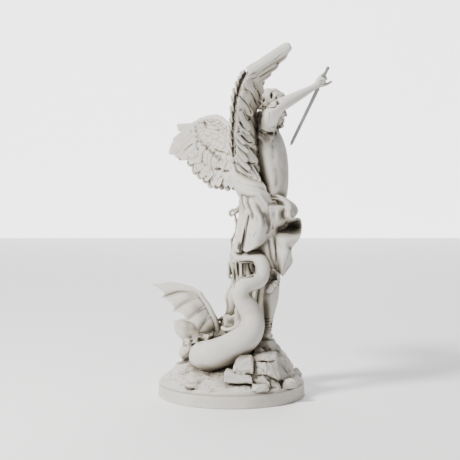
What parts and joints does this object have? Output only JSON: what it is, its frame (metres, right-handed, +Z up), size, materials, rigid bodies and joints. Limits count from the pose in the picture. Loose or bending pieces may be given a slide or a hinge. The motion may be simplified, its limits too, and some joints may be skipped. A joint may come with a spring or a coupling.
{
  "type": "archangel michael statue",
  "caption": "Winged archangel with a raised sword standing on a snake-tailed, bat-winged demon, cast on a rocky mound with a round plinth.",
  "frame": {"origin": "centre of the round plinth's underside", "axes": "+Z up; +X the way the angel faces; -Y towards his right side, from which the picture was taken"},
  "size_m": [0.3543, 0.3119, 0.7052],
  "materials": {
    "cast_stone": "matte off-white cast stone resin with a grey-olive wash left in the hollows",
    "grey_metal": "dull grey paint"
  },
  "bodies": {
    "root": {"statue": "cast_stone", "sword": "grey_metal"}
  },
  "joints": []
}
